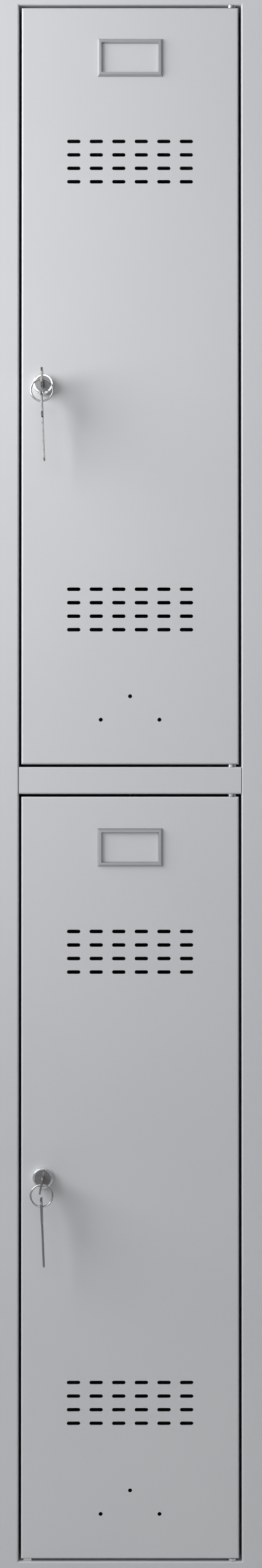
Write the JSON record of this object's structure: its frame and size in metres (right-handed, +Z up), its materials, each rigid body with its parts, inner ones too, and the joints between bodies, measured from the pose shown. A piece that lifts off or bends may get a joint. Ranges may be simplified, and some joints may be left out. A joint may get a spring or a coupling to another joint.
{
  "type": "two-compartment steel locker cabinet",
  "caption": "Narrow upright locker with upper and lower hinged doors, slotted vents, card holders, and cam locks with keys in them.",
  "frame": {"origin": "on the floor under the middle of the body, doors and keys left out", "axes": "+X to the right of a person facing the doors, +Y to the back, +Z up"},
  "size_m": [0.3, 0.5507, 1.8],
  "materials": {
    "light_grey_paint": "satin powder coat, fine even texture",
    "zinc_plate": "bright zinc plate",
    "white_nylon": "moulded, matte",
    "satin_aluminium": "satin anodised",
    "spring_steel": "blued",
    "chrome_plate": "polished",
    "plug_nickel": "brushed nickel",
    "key_nickel": "nickel plate, tumbled",
    "ring_steel": "polished spring steel"
  },
  "bodies": {
    "cabinet_body": {"front_frame": "light_grey_paint", "left_side_panel": "light_grey_paint", "right_side_panel": "light_grey_paint", "back_panel": "light_grey_paint", "roof_panel": "light_grey_paint", "base_panel": "light_grey_paint", "divider_shelf": "light_grey_paint", "upper_coat_hook": "zinc_plate", "lower_coat_hook": "zinc_plate", "upper_door_top_bush": "zinc_plate", "upper_door_bottom_bush": "zinc_plate", "lower_door_top_bush": "zinc_plate", "lower_door_bottom_bush": "zinc_plate", "lower_door_buffer": "white_nylon"},
    "upper_door_leaf": {"upper_door": "light_grey_paint", "upper_door_stiffener": "light_grey_paint", "upper_door_hinge_pins": "zinc_plate", "upper_card_holder": "satin_aluminium", "upper_card_holder_clips": "spring_steel", "upper_lock_housing": "chrome_plate", "upper_lock_nut": "zinc_plate"},
    "upper_lock_core": {"upper_lock_plug": "plug_nickel", "upper_lock_cam": "zinc_plate", "upper_cam_nut": "zinc_plate"},
    "upper_inserted_key": {"upper_key": "key_nickel"},
    "upper_ring": {"upper_key_ring": "ring_steel"},
    "upper_hanging_key": {"upper_spare_key": "key_nickel"},
    "lower_door_leaf": {"lower_door": "light_grey_paint", "lower_door_stiffener": "light_grey_paint", "lower_door_hinge_pins": "zinc_plate", "lower_card_holder": "satin_aluminium", "lower_card_holder_clips": "spring_steel", "lower_lock_housing": "chrome_plate", "lower_lock_nut": "zinc_plate"},
    "lower_lock_core": {"lower_lock_plug": "plug_nickel", "lower_lock_cam": "zinc_plate", "lower_cam_nut": "zinc_plate"},
    "lower_inserted_key": {"lower_key": "key_nickel"},
    "lower_ring": {"lower_key_ring": "ring_steel"},
    "lower_hanging_key": {"lower_spare_key": "key_nickel"}
  },
  "joints": [
    {"name": "upper_door_hinge", "type": "hinge", "parent": "cabinet_body", "child": "upper_door_leaf", "pos_m": [0.113, -0.245, 1.3395], "axis": [0, 0, 1], "range_deg": [0, 120]},
    {"name": "upper_lock_turn", "type": "hinge", "parent": "upper_door_leaf", "child": "upper_lock_core", "pos_m": [-0.0962, -0.25, 1.3395], "axis": [0, 1, 0], "range_deg": [0, 90]},
    {"name": "upper_key_slide", "type": "slide", "parent": "upper_lock_core", "child": "upper_inserted_key", "axis": [0, -1, 0], "range_m": [0, 0.034]},
    {"name": "upper_ring_swing", "type": "hinge", "parent": "upper_inserted_key", "child": "upper_ring", "pos_m": [-0.0962, -0.2897, 1.3395], "axis": [1, 0, 0], "range_deg": [-45, 10]},
    {"name": "upper_hanging_key_swing", "type": "hinge", "parent": "upper_ring", "child": "upper_hanging_key", "pos_m": [-0.0962, -0.2897, 1.3129], "axis": [0.9992, 0, 0.0401], "range_deg": [-45, 12]},
    {"name": "lower_door_hinge", "type": "hinge", "parent": "cabinet_body", "child": "lower_door_leaf", "pos_m": [0.113, -0.245, 0.4605], "axis": [0, 0, 1], "range_deg": [0, 120]},
    {"name": "lower_lock_turn", "type": "hinge", "parent": "lower_door_leaf", "child": "lower_lock_core", "pos_m": [-0.0962, -0.25, 0.4605], "axis": [0, 1, 0], "range_deg": [-10, 80]},
    {"name": "lower_key_slide", "type": "slide", "parent": "lower_lock_core", "child": "lower_inserted_key", "axis": [0, -1, 0], "range_m": [0, 0.034]},
    {"name": "lower_ring_swing", "type": "hinge", "parent": "lower_inserted_key", "child": "lower_ring", "pos_m": [-0.0962, -0.2897, 0.4605], "axis": [0.9848, 0, -0.1736], "range_deg": [-45, 10]},
    {"name": "lower_hanging_key_swing", "type": "hinge", "parent": "lower_ring", "child": "lower_hanging_key", "pos_m": [-0.0962, -0.2897, 0.4339], "axis": [0.9992, 0, 0.0401], "range_deg": [-45, 12]}
  ]
}
